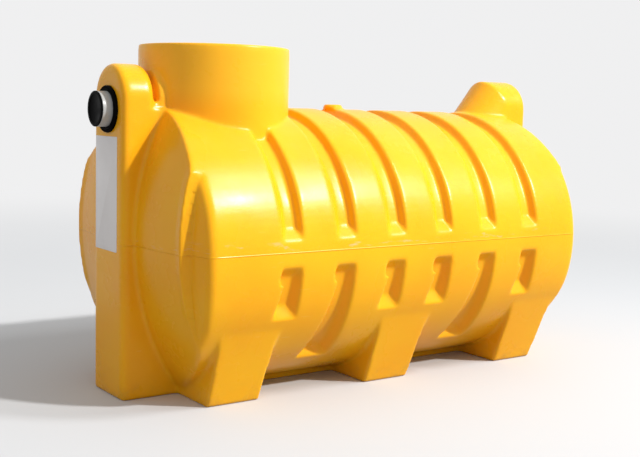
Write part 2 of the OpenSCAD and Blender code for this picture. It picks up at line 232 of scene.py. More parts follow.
def crisp_ridge(bm):
    """Draws out the edge of the raised middle at the inlet end, which smoothing wears down."""
    low, high, width, draw = 0.26, 0.8, 0.04, 0.009
    for vert in bm.verts:
        x, y, z = vert.co
        inward = RIDGE_Y + RIDGE_GAP - abs(y)
        if x > INLET_FACE + 0.12 or not 0 < inward < width or not low < z < high:
            continue
        vert.co.x -= draw * faded(z, low, high, 0.06, 0.1) * (1 - inward / width) ** 1.5


def crisp_flank(bm):
    """Carries the step of the raised middle on down to the feet, by setting the face beside it back."""
    low, high, width = 0.2, 0.7, 0.075
    for vert in bm.verts:
        x, y, z = vert.co
        outward = abs(y) - RIDGE_Y - RIDGE_GAP
        before = INLET_FACE + 0.18 - x
        if before <= 0 or not 0 < outward < width or not low < z < high:
            continue
        along = min(faded(z, low, high, 0.06, 0.1), before / 0.06)
        deep = 0.008 + 0.006 * min(1.0, max(0.0, (0.5 - z) / 0.22))
        vert.co.x += deep * along * (1 - outward / width)


def crisp_rim(bm):
    """Squares up the neck's rounded rim."""
    top = box("manhole_neck")[1].z
    for vert in bm.verts:
        away = (vert.co - NECK_MID).to_2d()
        out = (away.length - NECK_R + RIM_EDGE) / RIM_EDGE
        up = (vert.co.z - top + RIM_EDGE) / RIM_EDGE
        if min(out, up) <= 0 or math.hypot(out, up) < 0.8:
            continue
        grow = math.hypot(out, up) / (out ** 6 + up ** 6) ** (1 / 6)
        radius = NECK_R - RIM_EDGE + out * grow * RIM_EDGE
        vert.co.x = NECK_MID.x + away.x / away.length * radius
        vert.co.y = NECK_MID.y + away.y / away.length * radius
        vert.co.z = top - RIM_EDGE + up * grow * RIM_EDGE


def fill_gap(bm):
    """Fills the foot of the narrow gap between the inlet head and the collar."""
    low, high = box("neck_collar")
    block = Matrix.Diagonal((0.03, 0.044, 0.028, 1.0))
    for side in (-1, 1):
        place = Matrix.Translation((low.x + 0.008, side * (high.y - 0.022), CROWN_Z - 0.008))
        bmesh.ops.create_cube(bm, size=1.0, matrix=place @ block)


def ease(bm, verts, rounds):
    """Smooths the vertices so many times over."""
    for _ in range(rounds):
        bmesh.ops.smooth_vert(
            bm, verts=verts, factor=0.5, use_axis_x=True, use_axis_y=True, use_axis_z=True)


def disc(bm, centre, radius, depth, along_x=False):
    """Adds a closed disc that stops an opening while the shell is remoulded."""
    turn = Matrix.Rotation(math.pi / 2, 4, "Y") if along_x else Matrix.Identity(4)
    bmesh.ops.create_cone(
        bm, cap_ends=True, segments=96, radius1=radius, radius2=radius, depth=depth,
        matrix=Matrix.Translation(centre) @ turn)


def within_neck(bm, radius, low, high=math.inf):
    """Faces between two heights that lie nearer to the neck's axis than the radius."""
    found = []
    for face in bm.faces:
        c = face.calc_center_median()
        if low < c.z < high and math.hypot(c.x - NECK_MID.x, c.y - NECK_MID.y) < radius:
            found.append(face)
    return found


def sharpen(mesh, degrees):
    for polygon in mesh.polygons:
        polygon.use_smooth = True
    mesh.set_sharp_from_angle(angle=math.radians(degrees))


# ---------- shader helpers ----------

def new_group(name, inputs, outputs):
    group = bpy.data.node_groups.new(name, "ShaderNodeTree")
    for label, kind, default in inputs:
        socket = group.interface.new_socket(name=label, in_out="INPUT", socket_type=kind)
        if default is not None:
            socket.default_value = default
    for label, kind in outputs:
        group.interface.new_socket(name=label, in_out="OUTPUT", socket_type=kind)
    return group


class Shader:
    """A small helper that adds nodes and links them."""

    def __init__(self, tree):
        self.tree = tree

    def node(self, kind, **settings):
        made = self.tree.nodes.new(kind)
        for key, value in settings.items():
            setattr(made, key, value)
        return made

    def feed(self, socket, value):
        if isinstance(value, bpy.types.NodeSocket):
            self.tree.links.new(value, socket)
        elif value is not None:
            socket.default_value = value

    def maths(self, operation, a, b=None, clamp=False):
        made = self.node("ShaderNodeMath", operation=operation, use_clamp=clamp)
        self.feed(made.inputs[0], a)
        self.feed(made.inputs[1], b)
        return made.outputs[0]

    def noise(self, vector, scale, detail=3.0, roughness=0.5):
        made = self.node("ShaderNodeTexNoise")
        self.feed(made.inputs["Vector"], vector)
        self.feed(made.inputs["Scale"], scale)
        self.feed(made.inputs["Detail"], detail)
        self.feed(made.inputs["Roughness"], roughness)
        return made.outputs["Fac"]

    def between(self, value, low, high, to_low=0.0, to_high=1.0):
        """Runs softly from to_low to to_high as the value goes from low to high."""
        made = self.node("ShaderNodeMapRange", interpolation_type="SMOOTHSTEP")
        labels = ("Value", "From Min", "From Max", "To Min", "To Max")
        for label, number in zip(labels, (value, low, high, to_low, to_high)):
            self.feed(made.inputs[label], number)
        return made.outputs["Result"]

    def mix(self, factor, a, b):
        made = self.node("ShaderNodeMix", data_type="RGBA")
        self.feed(made.inputs["Factor"], factor)
        self.feed(made.inputs[6], a)
        self.feed(made.inputs[7], b)
        return made.outputs[2]

    def stretched(self, vector, scale):
        made = self.node("ShaderNodeMapping")
        self.feed(made.inputs["Vector"], vector)
        made.inputs["Scale"].default_value = scale
        return made.outputs["Vector"]

    def bump(self, height, strength, distance, normal=None):
        made = self.node("ShaderNodeBump")
        made.inputs["Strength"].default_value = strength
        made.inputs["Distance"].default_value = distance
        self.feed(made.inputs["Height"], height)
        self.feed(made.inputs["Normal"], normal)
        return made.outputs["Normal"]


def rgba(colour):
    return (colour[0], colour[1], colour[2], 1.0)


def grain_group():
    """Fine orange-peel texture of moulded or extruded plastic: a height, and a slow drift for roughness."""
    name = "moulded grain"
    if name in bpy.data.node_groups:
        return bpy.data.node_groups[name]
    inputs = [("Vector", "NodeSocketVector", None), ("Scale", "NodeSocketFloat", 160.0)]
    group = new_group(name, inputs, [("Height", "NodeSocketFloat"), ("Drift", "NodeSocketFloat")])
    s = Shader(group)
    inside = s.node("NodeGroupInput")
    outside = s.node("NodeGroupOutput")
    fine = s.noise(inside.outputs["Vector"], inside.outputs["Scale"], 2.0, 0.45)
    broad = s.noise(inside.outputs["Vector"], s.maths("MULTIPLY", inside.outputs["Scale"], 0.08), 2.0, 0.5)
    height = s.maths("ADD", s.maths("MULTIPLY", fine, 0.35), s.maths("MULTIPLY", broad, 0.9))
    s.feed(outside.inputs["Height"], height)
    drift = s.noise(inside.outputs["Vector"], s.maths("MULTIPLY", inside.outputs["Scale"], 0.02), 4.0, 0.6)
    s.feed(outside.inputs["Drift"], drift)
    return group


def dust_group():
    """Dust that settles where a face looks up, and streaks below: a mask."""
    name = "settled dust"
    if name in bpy.data.node_groups:
        return bpy.data.node_groups[name]
    inputs = [("Vector", "NodeSocketVector", None), ("Amount", "NodeSocketFloat", 0.3)]
    group = new_group(name, inputs, [("Mask", "NodeSocketFloat")])
    s = Shader(group)
    inside = s.node("NodeGroupInput")
    outside = s.node("NodeGroupOutput")
    geometry = s.node("ShaderNodeNewGeometry")
    up = s.node("ShaderNodeSeparateXYZ")
    s.feed(up.inputs[0], geometry.outputs["Normal"])
    facing = s.between(up.outputs["Z"], 0.1, 1.0)
    speckle = s.between(s.noise(inside.outputs["Vector"], 34.0, 6.0, 0.7), 0.42, 0.75)
    cloud = s.between(s.noise(inside.outputs["Vector"], 4.0, 3.0, 0.55), 0.3, 0.75)
    speckle = s.maths("ADD", s.maths("MULTIPLY", speckle, 0.6), 0.4)
    mask = s.maths("MULTIPLY", s.maths("MULTIPLY", facing, cloud), speckle)
    s.feed(outside.inputs["Mask"], s.maths("MULTIPLY", mask, inside.outputs["Amount"], clamp=True))
    return group


def start_material(name):
    material = bpy.data.materials.new(name)
    material.use_nodes = True
    material.node_tree.nodes.clear()
    s = Shader(material.node_tree)
    out = s.node("ShaderNodeOutputMaterial")
    surface = s.node("ShaderNodeBsdfPrincipled")
    s.feed(out.inputs["Surface"], surface.outputs["BSDF"])
    place = s.node("ShaderNodeTexCoord").outputs["Object"]
    return material, s, surface, place


def add_group(s, group, **values):
    made = s.node("ShaderNodeGroup")
    made.node_tree = group
    for label, value in values.items():
        s.feed(made.inputs[label], value)
    return made


def shell_material(look):
    name = "moulded yellow polyethylene"
    if name in bpy.data.materials:
        return bpy.data.materials[name]
    material, s, surface, place = start_material(name)
    grain = add_group(s, grain_group(), Vector=place, Scale=170.0)
    where = s.node("ShaderNodeSeparateXYZ")
    s.feed(where.inputs[0], place)
    z = where.outputs["Z"]

    # slow drift of the colour, as pigment settles unevenly in the mould
    drift = s.between(s.noise(place, 2.6, 4.0, 0.55), 0.3, 0.72)
    colour = s.mix(s.maths("MULTIPLY", drift, 0.55), rgba(look.colour), rgba(look.deep))
    fine = s.noise(place, 60.0, 3.0, 0.6)
    colour = s.mix(s.between(fine, 0.35, 0.75, 0.0, 0.1), colour, (0.96, 0.49, 0.03, 1.0))

    # rubbed band just above the parting line
    rub = s.noise(s.stretched(place, (5.0, 5.0, 26.0)), 2.2, 5.0, 0.65)
    above = s.between(z, SEAM_Z + 0.001, SEAM_Z + 0.01)
    below = s.between(z, SEAM_Z + 0.045, SEAM_Z + 0.02)
    rubbed = s.maths("MULTIPLY", s.between(rub, 0.56, 0.68), s.maths("MULTIPLY", above, below))
    colour = s.mix(s.maths("MULTIPLY", rubbed, 0.65), colour, rgba(look.scuff))

    # short scratches on the side
    scratch_map = s.stretched(place, (14.0, 14.0, 120.0))
    scratch = s.between(s.noise(scratch_map, 1.0, 2.0, 0.4), 0.7, 0.76)
    patch = s.between(s.noise(place, 3.1, 2.0, 0.5), 0.52, 0.66)
    scratched = s.maths("MULTIPLY", scratch, patch)
    colour = s.mix(s.maths("MULTIPLY", scratched, 0.3), colour, (0.98, 0.6, 0.16, 1.0))

    # painted light: the lower neck is coloured lighter and yellower all round, standing in for daylight
    # inside the open neck showing through its thin wall
    offset = s.node("ShaderNodeVectorMath", operation="SUBTRACT")
    s.feed(offset.inputs[0], place)
    offset.inputs[1].default_value = NECK_MID
    flat = s.node("ShaderNodeVectorMath", operation="MULTIPLY")
    s.feed(flat.inputs[0], offset.outputs["Vector"])
    flat.inputs[1].default_value = (1.0, 1.0, 0.0)
    radius = s.node("ShaderNodeVectorMath", operation="LENGTH")
    s.feed(radius.inputs[0], flat.outputs["Vector"])
    near = s.between(radius.outputs["Value"], NECK_R + 0.03, NECK_R + 0.004)
    neck = s.maths("MULTIPLY", near, s.between(z, CROWN_Z - 0.02, CROWN_Z + 0.06))
    colour = s.mix(s.maths("MULTIPLY", neck, 0.6), colour, (0.98, 0.53, 0.03, 1.0))

    # dust on top and a trace of dirt near the ground
    dust = add_group(s, dust_group(), Vector=place, Amount=0.12)
    colour = s.mix(dust.outputs["Mask"], colour, (0.78, 0.66, 0.42, 1.0))
    clods = s.between(s.noise(place, 16.0, 5.0, 0.65), 0.45, 0.75)
    soil = s.maths("MULTIPLY", s.between(z, 0.09, 0.0), clods)
    colour = s.mix(s.maths("MULTIPLY", soil, 0.35), colour, (0.42, 0.23, 0.06, 1.0))
    s.feed(surface.inputs["Base Color"], colour)

    rough = s.between(grain.outputs["Drift"], 0.3, 0.7, look.roughness - 0.05, look.roughness + 0.08)
    rough = s.maths("ADD", rough, s.maths("MULTIPLY", rubbed, 0.25))
    rough = s.maths("ADD", rough, s.maths("MULTIPLY", dust.outputs["Mask"], 0.8), clamp=True)
    s.feed(surface.inputs["Roughness"], rough)

    # raised parting line, orange peel and a slight waviness of the wall
    line = s.maths("SUBTRACT", z, SEAM_Z)
    line = s.between(s.maths("ABSOLUTE", line), 0.0025, 0.0005)
    wave = s.noise(place, 5.5, 2.0, 0.4)
    normal = s.bump(wave, 0.35, 0.004)
    normal = s.bump(grain.outputs["Height"], 0.3, 0.0009, normal)
    normal = s.bump(line, 0.5, 0.0015, normal)
    s.feed(surface.inputs["Normal"], normal)
    surface.inputs["IOR"].default_value = 1.5
    surface.inputs["Specular IOR Level"].default_value = 0.2
    surface.inputs["Subsurface Weight"].default_value = 0.12
    surface.inputs["Subsurface Radius"].default_value = (1.0, 0.35, 0.05)
    surface.inputs["Subsurface Scale"].default_value = 0.012
    return material


def pipe_material(look):
    name = "grey drain pipe"
    if name in bpy.data.materials:
        return bpy.data.materials[name]
    material, s, surface, place = start_material(name)
    grain = add_group(s, grain_group(), Vector=place, Scale=420.0)
    tint = s.between(s.noise(place, 9.0, 4.0, 0.6), 0.3, 0.7)
    colour = s.mix(s.maths("MULTIPLY", tint, 0.3), rgba(look.grey), (0.42, 0.43, 0.44, 1.0))
    lines = s.noise(s.stretched(place, (4.0, 180.0, 180.0)), 1.0, 3.0, 0.6)
    colour = s.mix(s.between(lines, 0.6, 0.75, 0.0, 0.25), colour, (0.66, 0.67, 0.68, 1.0))
    s.feed(surface.inputs["Base Color"], colour)
    s.feed(surface.inputs["Roughness"], s.between(grain.outputs["Drift"], 0.3, 0.7, 0.28, 0.4))
    s.feed(surface.inputs["Normal"], s.bump(grain.outputs["Height"], 0.2, 0.0004))
    surface.inputs["IOR"].default_value = 1.53
    return material


def rubber_material(look):
    name = "black seal rubber"
    if name in bpy.data.materials:
        return bpy.data.materials[name]
    material, s, surface, place = start_material(name)
    grain = add_group(s, grain_group(), Vector=place, Scale=600.0)
    dust = add_group(s, dust_group(), Vector=place, Amount=0.008)
    worn = s.between(grain.outputs["Drift"], 0.3, 0.75, 0.0, 0.4)
    colour = s.mix(worn, rgba(look.rubber), (0.01, 0.0095, 0.009, 1.0))
    colour = s.mix(dust.outputs["Mask"], colour, (0.2, 0.18, 0.15, 1.0))
    s.feed(surface.inputs["Base Color"], colour)
    s.feed(surface.inputs["Roughness"], s.between(grain.outputs["Drift"], 0.3, 0.7, 0.5, 0.68))
    s.feed(surface.inputs["Normal"], s.bump(grain.outputs["Height"], 0.35, 0.0005))
    surface.inputs["Specular IOR Level"].default_value = 0.03
    surface.inputs["IOR"].default_value = 1.3
    return material


def plug_material(look):
    name = "black plug plastic"
    if name in bpy.data.materials:
        return bpy.data.materials[name]
    material, s, surface, place = start_material(name)
    grain = add_group(s, grain_group(), Vector=place, Scale=500.0)
    dust = add_group(s, dust_group(), Vector=place, Amount=0.008)
    smear = s.between(s.noise(place, 22.0, 5.0, 0.6), 0.4, 0.75)
    colour = s.mix(s.maths("MULTIPLY", smear, 0.35), rgba(look.plug), (0.008, 0.008, 0.0085, 1.0))
    colour = s.mix(dust.outputs["Mask"], colour, (0.22, 0.2, 0.17, 1.0))
    s.feed(surface.inputs["Base Color"], colour)
    s.feed(surface.inputs["Roughness"], s.between(smear, 0.0, 1.0, 0.3, 0.46))
    s.feed(surface.inputs["Normal"], s.bump(grain.outputs["Height"], 0.25, 0.0004))
    surface.inputs["Specular IOR Level"].default_value = 0.03
    surface.inputs["IOR"].default_value = 1.3
    return material


def plate_material(size):
    name = "bare white film"
    if name in bpy.data.materials:
        return bpy.data.materials[name]
    material, s, surface, place = start_material(name)
    grain = add_group(s, grain_group(), Vector=place, Scale=300.0)
    drift = s.between(s.noise(place, 7.0, 4.0, 0.6), 0.35, 0.7)
    colour = s.mix(s.maths("MULTIPLY", drift, 0.25), rgba(size.colour), (0.7, 0.69, 0.7, 1.0))
    specks = s.between(s.noise(place, 120.0, 5.0, 0.7), 0.66, 0.74)
    colour = s.mix(s.maths("MULTIPLY", specks, 0.3), colour, (0.4, 0.36, 0.3, 1.0))
    s.feed(surface.inputs["Base Color"], colour)
    s.feed(surface.inputs["Roughness"], s.between(drift, 0.0, 1.0, 0.3, 0.42))
    crease = s.noise(s.stretched(place, (1.0, 1.0, 0.4)), 24.0, 2.0, 0.5)
    normal = s.bump(crease, 0.25, 0.0015)
    s.feed(surface.inputs["Normal"], s.bump(grain.outputs["Height"], 0.15, 0.0003, normal))
    return material


# ---------- operators ----------

class TANK_OT_mould_shell(bpy.types.Operator):
    """Remould the tank's shell as one soft-edged skin, with the inside of its wall"""

    bl_idname = "tank.mould_shell"
    bl_label = "Mould the shell"

    def execute(self, context):
        look = context.scene.tank_shell
        material = shell_material(look)
        bm = merged_copy(SHELL_NODES)
        true_up(bm)
        fill_gap(bm)
        plug_z = CROWN_Z + 0.122
        inside = self.remoulded(bm.copy(), look.voxel * 1.1)
        disc(bm, (NECK_MID.x, 0, plug_z), NECK_R - WALL / 2, 0.014)
        disc(bm, (INLET_FACE + WALL / 2, 0, INLET_Z), PIPE_R + 0.01, WALL, True)
        disc(bm, (OUTLET_FACE - WALL / 2, 0, OUTLET_Z), PIPE_R + 0.01, WALL, True)
        outside = self.remoulded(bm, look.voxel)
        self.make_inside(inside, BVHTree.FromBMesh(outside), material)
        self.make_skin(outside, look, plug_z, material)
        return {"FINISHED"}

    def remoulded(self, bm, voxel):
        """The bmesh made over into small even cells; a closed hollow keeps its outside only."""
        solid = bpy.data.meshes.new("shell before moulding")
        bm.to_mesh(solid)
        bm.free()
        remade = modified(solid, "REMESH", mode="VOXEL", voxel_size=voxel, adaptivity=0.0)
        result = bmesh.new()
        result.from_mesh(remade)
        return result

    def make_skin(self, bm, look, plug_z, material):
        ease(bm, bm.verts, look.rounds)
        crisp_ridge(bm)
        crisp_flank(bm)
        crisp_rim(bm)
        cup = within_neck(bm, NECK_R - WALL - 0.001, CROWN_Z + 0.03, plug_z + 0.016)
        bmesh.ops.delete(bm, geom=cup, context="FACES")
        holes = []
        for face in bm.faces:
            c = face.calc_center_median()
            if c.x < INLET_FACE + 0.004 and math.hypot(c.y, c.z - INLET_Z) < PIPE_R + 0.003:
                holes.append(face)
            elif c.x > OUTLET_FACE - 0.004 and math.hypot(c.y, c.z - OUTLET_Z) < PIPE_R + 0.003:
                holes.append(face)
        bmesh.ops.delete(bm, geom=holes, context="FACES")
        verts, faces, owners = [], [], []
        for number, name in enumerate(SHELL_NODES):
            start = len(verts)
            verts.extend(v.co.copy() for v in NODES[name].data.vertices)
            faces.extend([start + i for i in p.vertices] for p in NODES[name].data.polygons)
            owners.extend([number] * len(NODES[name].data.polygons))
        tree = BVHTree.FromPolygons(verts, faces)
        for face in bm.faces:
            face.smooth = True
            face.material_index = owners[tree.find_nearest(face.calc_center_median())[2]]
        bm.normal_update()
        keep = bm.verts.layers.float_vector.new("moulded_normal")
        for vert in bm.verts:
            vert[keep] = vert.normal
        mesh = bpy.data.meshes.new("tank skin")
        bm.to_mesh(mesh)
        bm.free()
        skin = bpy.data.objects.new("tank_skin", mesh)
        bpy.context.scene.collection.objects.link(skin)
        for name in SHELL_NODES:
            slot = bpy.data.materials.get("part " + name) or bpy.data.materials.new("part " + name)
            mesh.materials.append(slot)
        bpy.ops.object.select_all(action="DESELECT")
        skin.select_set(True)
        bpy.context.view_layer.objects.active = skin
        bpy.ops.object.mode_set(mode="EDIT")
        bpy.ops.mesh.separate(type="MATERIAL")
        bpy.ops.object.mode_set(mode="OBJECT")
        made = set()
        for piece in list(bpy.context.selected_objects):
            node = piece.data.materials[0].name[5:]
            made.add(node)
            normals = [tuple(v.vector) for v in piece.data.attributes["moulded_normal"].data]
            piece.name = node + "_skin"
            dress_piece(piece, material, [node])
            piece.data.normals_split_custom_set_from_vertices(normals)
        missing = sorted(set(SHELL_NODES) - made)
        if missing:
            raise RuntimeError("no skin was made for " + ", ".join(missing))

    def make_inside(self, bm, outside, material):
        skin = [f for f in bm.faces if outside.find_nearest(f.calc_center_median())[3] < WALL * 0.6]
        bmesh.ops.delete(bm, geom=skin, context="FACES")
        if not bm.faces:
            raise RuntimeError("the shell has no inside, so its openings are closed")
        ease(bm, bm.verts, 3)
        opened = within_neck(bm, NECK_R - WALL * 0.6, CROWN_Z - 0.06)
        bmesh.ops.delete(bm, geom=opened, context="FACES")
        mesh = bpy.data.meshes.new("tank_inside")
        bm.to_mesh(mesh)
        bm.free()
        thinned = modified(mesh, "DECIMATE", ratio=0.22)
        thinned.name = "tank_inside"
        for polygon in thinned.polygons:
            polygon.use_smooth = True
        dress_piece(bpy.data.objects.new("tank_inside", thinned), material)


class TANK_OT_line_neck(bpy.types.Operator):
    """Line the lower part of the manhole neck, with the window where the inlet comes in"""

    bl_idname = "tank.line_neck"
    bl_label = "Line the neck"

    def execute(self, context):
        material = shell_material(context.scene.tank_shell)
        bm = bmesh.new()
        place = Matrix.Translation((NECK_MID.x, 0, CROWN_Z + 0.142))
        ring = bmesh.ops.create_circle(
            bm, cap_ends=False, segments=144, radius=NECK_R - WALL - 0.0004, matrix=place)
        edges = list({e for v in ring["verts"] for e in v.link_edges})
        for _ in range(32):
            made = bmesh.ops.extrude_edge_only(bm, edges=edges)["geom"]
            lower = [g for g in made if isinstance(g, bmesh.types.BMVert)]
            bmesh.ops.translate(bm, vec=(0, 0, -0.0064), verts=lower)
            edges = [g for g in made if isinstance(g, bmesh.types.BMEdge) and all(v in made for v in g.verts)]
            edges = [e for e in edges if abs(e.verts[0].co.z - e.verts[1].co.z) < 1e-6]
        half = box("neck_collar")[1].y - WALL
        arch_z = box("neck_collar")[1].z - box("neck_collar")[1].y
        window = []
        for face in bm.faces:
            c = face.calc_center_median()
            top = arch_z + math.sqrt(max(half * half - c.y * c.y, 0))
            if c.x < NECK_MID.x and abs(c.y) < half and c.z < top:
                window.append(face)
        bmesh.ops.delete(bm, geom=window, context="FACES")
        bmesh.ops.recalc_face_normals(bm, faces=bm.faces)
        bmesh.ops.solidify(bm, geom=bm.faces, thickness=0.003)
        bmesh.ops.recalc_face_normals(bm, faces=bm.faces)
        piece = new_piece("neck_lining", bm, material)
        sharpen(piece.data, 40)
        return {"FINISHED"}


class TANK_OT_parting_line(bpy.types.Operator):
    """Run the thin flash of the mould's parting line round the tank"""

    bl_idname = "tank.parting_line"
    bl_label = "Parting line"

    def execute(self, context):
        material = shell_material(context.scene.tank_shell)
        bm = bmesh.new()
        for piece in [o for o in bpy.data.objects if o.name.endswith("_skin")]:
            bm.from_mesh(piece.data)
        bmesh.ops.remove_doubles(bm, verts=bm.verts, dist=1e-6)
        cut = bmesh.ops.bisect_plane(
            bm, geom=bm.verts[:] + bm.edges[:] + bm.faces[:], plane_co=(0, 0, SEAM_Z),
            plane_no=(0, 0, 1), clear_inner=True, clear_outer=True)
        line = {g for g in cut["geom_cut"] if isinstance(g, bmesh.types.BMEdge)}
        bmesh.ops.delete(bm, geom=[e for e in bm.edges if e not in line], context="EDGES")
        behind = [v for v in bm.verts if abs(v.co.y) < COLUMN_W - 0.012 and abs(v.co.x) > OUTLET_FACE - 0.012]
        bmesh.ops.delete(bm, geom=behind, context="VERTS")
        ease(bm, [v for v in bm.verts if len(v.link_edges) == 2], 4)
        mesh = bpy.data.meshes.new("parting line path")
        bm.to_mesh(mesh)
        bm.free()
        path = bpy.data.objects.new("parting_path", mesh)
        context.scene.collection.objects.link(path)
        bpy.ops.object.select_all(action="DESELECT")
        path.select_set(True)
        context.view_layer.objects.active = path
        bpy.ops.object.convert(target="CURVE")
        path.data.bevel_depth = 0.0011
        path.data.bevel_resolution = 1
        bead = evaluated_mesh(path)
        bpy.data.objects.remove(path)
        bead.name = "parting_line"
        for polygon in bead.polygons:
            polygon.use_smooth = True
        dress_piece(bpy.data.objects.new("parting_line", bead), material)
        return {"FINISHED"}


def spun(bm, outline, axis_start, segments=96):
    """Spins an outline of [distance along the pipe, radius] about the pipe's axis."""
    verts = [bm.verts.new(axis_start + Vector((along, 0, radius))) for along, radius in outline]
    edges = [bm.edges.new((a, b)) for a, b in zip(verts, verts[1:])]
    bmesh.ops.spin(
        bm, geom=verts + edges, cent=axis_start, axis=(1, 0, 0), dvec=(0, 0, 0),
        angle=2 * math.pi, steps=segments, use_merge=True)
    bmesh.ops.remove_doubles(bm, verts=bm.verts, dist=1e-6)
    bmesh.ops.recalc_face_normals(bm, faces=bm.faces)


def quarter(centre_along, centre_radius, radius, start, end, steps=6):
    """Points on an arc of an outline, in degrees from the pipe's own direction."""
    points = []
    for step in range(steps + 1):
        angle = math.radians(start + (end - start) * step / steps)
        points.append((centre_along + radius * math.cos(angle), centre_radius + radius * math.sin(angle)))
    return points


class TANK_OT_fit_pipes(bpy.types.Operator):
    """Fit the pipe stubs, their seals and plugs on both sides"""

    bl_idname = "tank.fit_pipes"
    bl_label = "Fit the pipework"

    def execute(self, context):
        look = context.scene.tank_pipes
        grey, rubber, plastic = pipe_material(look), rubber_material(look), plug_material(look)
        for side, sign in (("inlet", 1), ("outlet", -1)):
            z = middle(side + "_cap").z
            self.make_seal(side, sign, z, rubber)
            self.make_plug(side, sign, z, plastic)
            self.make_pipe(side, sign, z, grey)
            tee = NODES[side + "_tee"]
            tee.data.materials.clear()
            tee.data.materials.append(grey)
        return {"FINISHED"}

    def finish(self, bm, sign, name, material, slot, node, degrees):
        if sign < 0:
            bmesh.ops.scale(bm, vec=(-1, 1, 1), verts=bm.verts)
            bmesh.ops.reverse_faces(bm, faces=bm.faces)
        piece = new_piece(name, bm, material, [node])
        sharpen(piece.data, degrees)

    def outer_x(self, node, sign):
        low, high = box(node)
        return low.x if sign > 0 else -high.x

    def inner_x(self, node, sign):
        low, high = box(node)
        return high.x if sign > 0 else -low.x

    def make_seal(self, side, sign, z, material):
        node = side + "_seal"
        start = self.outer_x(node, sign)
        end = self.inner_x(node, sign)
        face = INLET_FACE if sign > 0 else -OUTLET_FACE
        r0 = PIPE_R + 0.0003
        r1 = box(node)[1].y
        lip = face - start
        outline = [(0.0026, r0)]
        outline += quarter(0.0026, r0 + 0.0026, 0.0026, 270, 180)
        outline += [(0.0, r0 + 0.007)]
        outline += quarter(0.0012, r0 + 0.0085, 0.0012, 180, 90, 3)
        outline += [(0.0022, r0 + 0.0105)]
        outline += quarter(0.0042, r1 - 0.0042, 0.0042, 180, 90)
        outline += [(lip - 0.001, r1), (lip, r1 - 0.001), (lip, r0 + 0.006)]
        outline += [(lip + WALL, r0 + 0.006), (lip + WALL, r0 + 0.0112), (end - start - 0.001, r0 + 0.0112)]
        outline += [(end - start, r0 + 0.0102), (end - start, r0)]
        bm = bmesh.new()
        spun(bm, outline + [outline[0]], Vector((start, 0, z)))
        self.finish(bm, sign, node + "_ring", material, "seal", node, 35)

    def make_plug(self, side, sign, z, material):
        node = side + "_cap"
        start = self.outer_x(node, sign)
        end = self.inner_x(node, sign)
        r1 = box(node)[1].y
        inner = r1 - 0.0035
        outline = [(0.0022, 0.0), (0.0022, r1 - 0.0125)]
        outline += [(0.0014, r1 - 0.0108), (0.0, r1 - 0.0098)]
        outline += quarter(0.0016, r1 - 0.0016, 0.0016, 180, 90, 4)
        outline += [(0.0034, r1), (0.004, r1 - 0.0006), (0.004, inner)]
        outline += [(end - start - 0.002, inner), (end - start, inner - 0.002), (end - start, 0.0)]
        bm = bmesh.new()
        spun(bm, outline, Vector((start, 0, z)))
        self.finish(bm, sign, node + "_plug", material, "cap", node, 35)

    def make_pipe(self, side, sign, z, material):
        node = side + "_pipe"
        start = self.outer_x(node, sign)
        end = self.inner_x(node, sign)
        r1 = PIPE_R
        r0 = PIPE_R - 0.0032
        run = end - start
        outline = [(0.0008, r0), (0.0, r0 + 0.0007), (0.0, r1 - 0.0012), (0.0012, r1)]
        outline += [(run - 0.001, r1), (run, r1 - 0.001), (run, r0)]
        bm = bmesh.new()
        spun(bm, outline + [outline[0]], Vector((start, 0, z)), 128)
        self.finish(bm, sign, node + "_tube", material, "pipe", node, 35)


class TANK_OT_fix_plate(bpy.types.Operator):
    """Fix the bare white plate on the inlet column's face"""

    bl_idname = "tank.fix_plate"
    bl_label = "Fix the plate"

    def execute(self, context):
        size = context.scene.tank_plate
        bm = bmesh.new()
        bmesh.ops.create_cube(bm, size=1.0)
        width = size.high_y - size.low_y
        height = size.high_z - size.low_z
        bmesh.ops.scale(bm, vec=(size.thickness, width, height), verts=bm.verts)
        upright = [e for e in bm.edges if abs((e.verts[0].co - e.verts[1].co).normalized().x) > 0.9]
        self.rounded(bm, upright, 0.003, 4)
        front = [e for e in bm.edges if all(v.co.x < 0 for v in e.verts)]
        self.rounded(bm, front, 0.0003, 2)
        x = INLET_FACE - size.thickness / 2 + 0.0002
        place = Vector((x, (size.low_y + size.high_y) / 2, (size.low_z + size.high_z) / 2))
        bmesh.ops.translate(bm, vec=place, verts=bm.verts)
        piece = new_piece("face_plate", bm, plate_material(size))
        sharpen(piece.data, 35)
        return {"FINISHED"}

    def rounded(self, bm, edges, radius, segments):
        bmesh.ops.bevel(
            bm, geom=edges, offset=radius, offset_type="OFFSET", segments=segments,
            profile=0.5, affect="EDGES", material=-1)


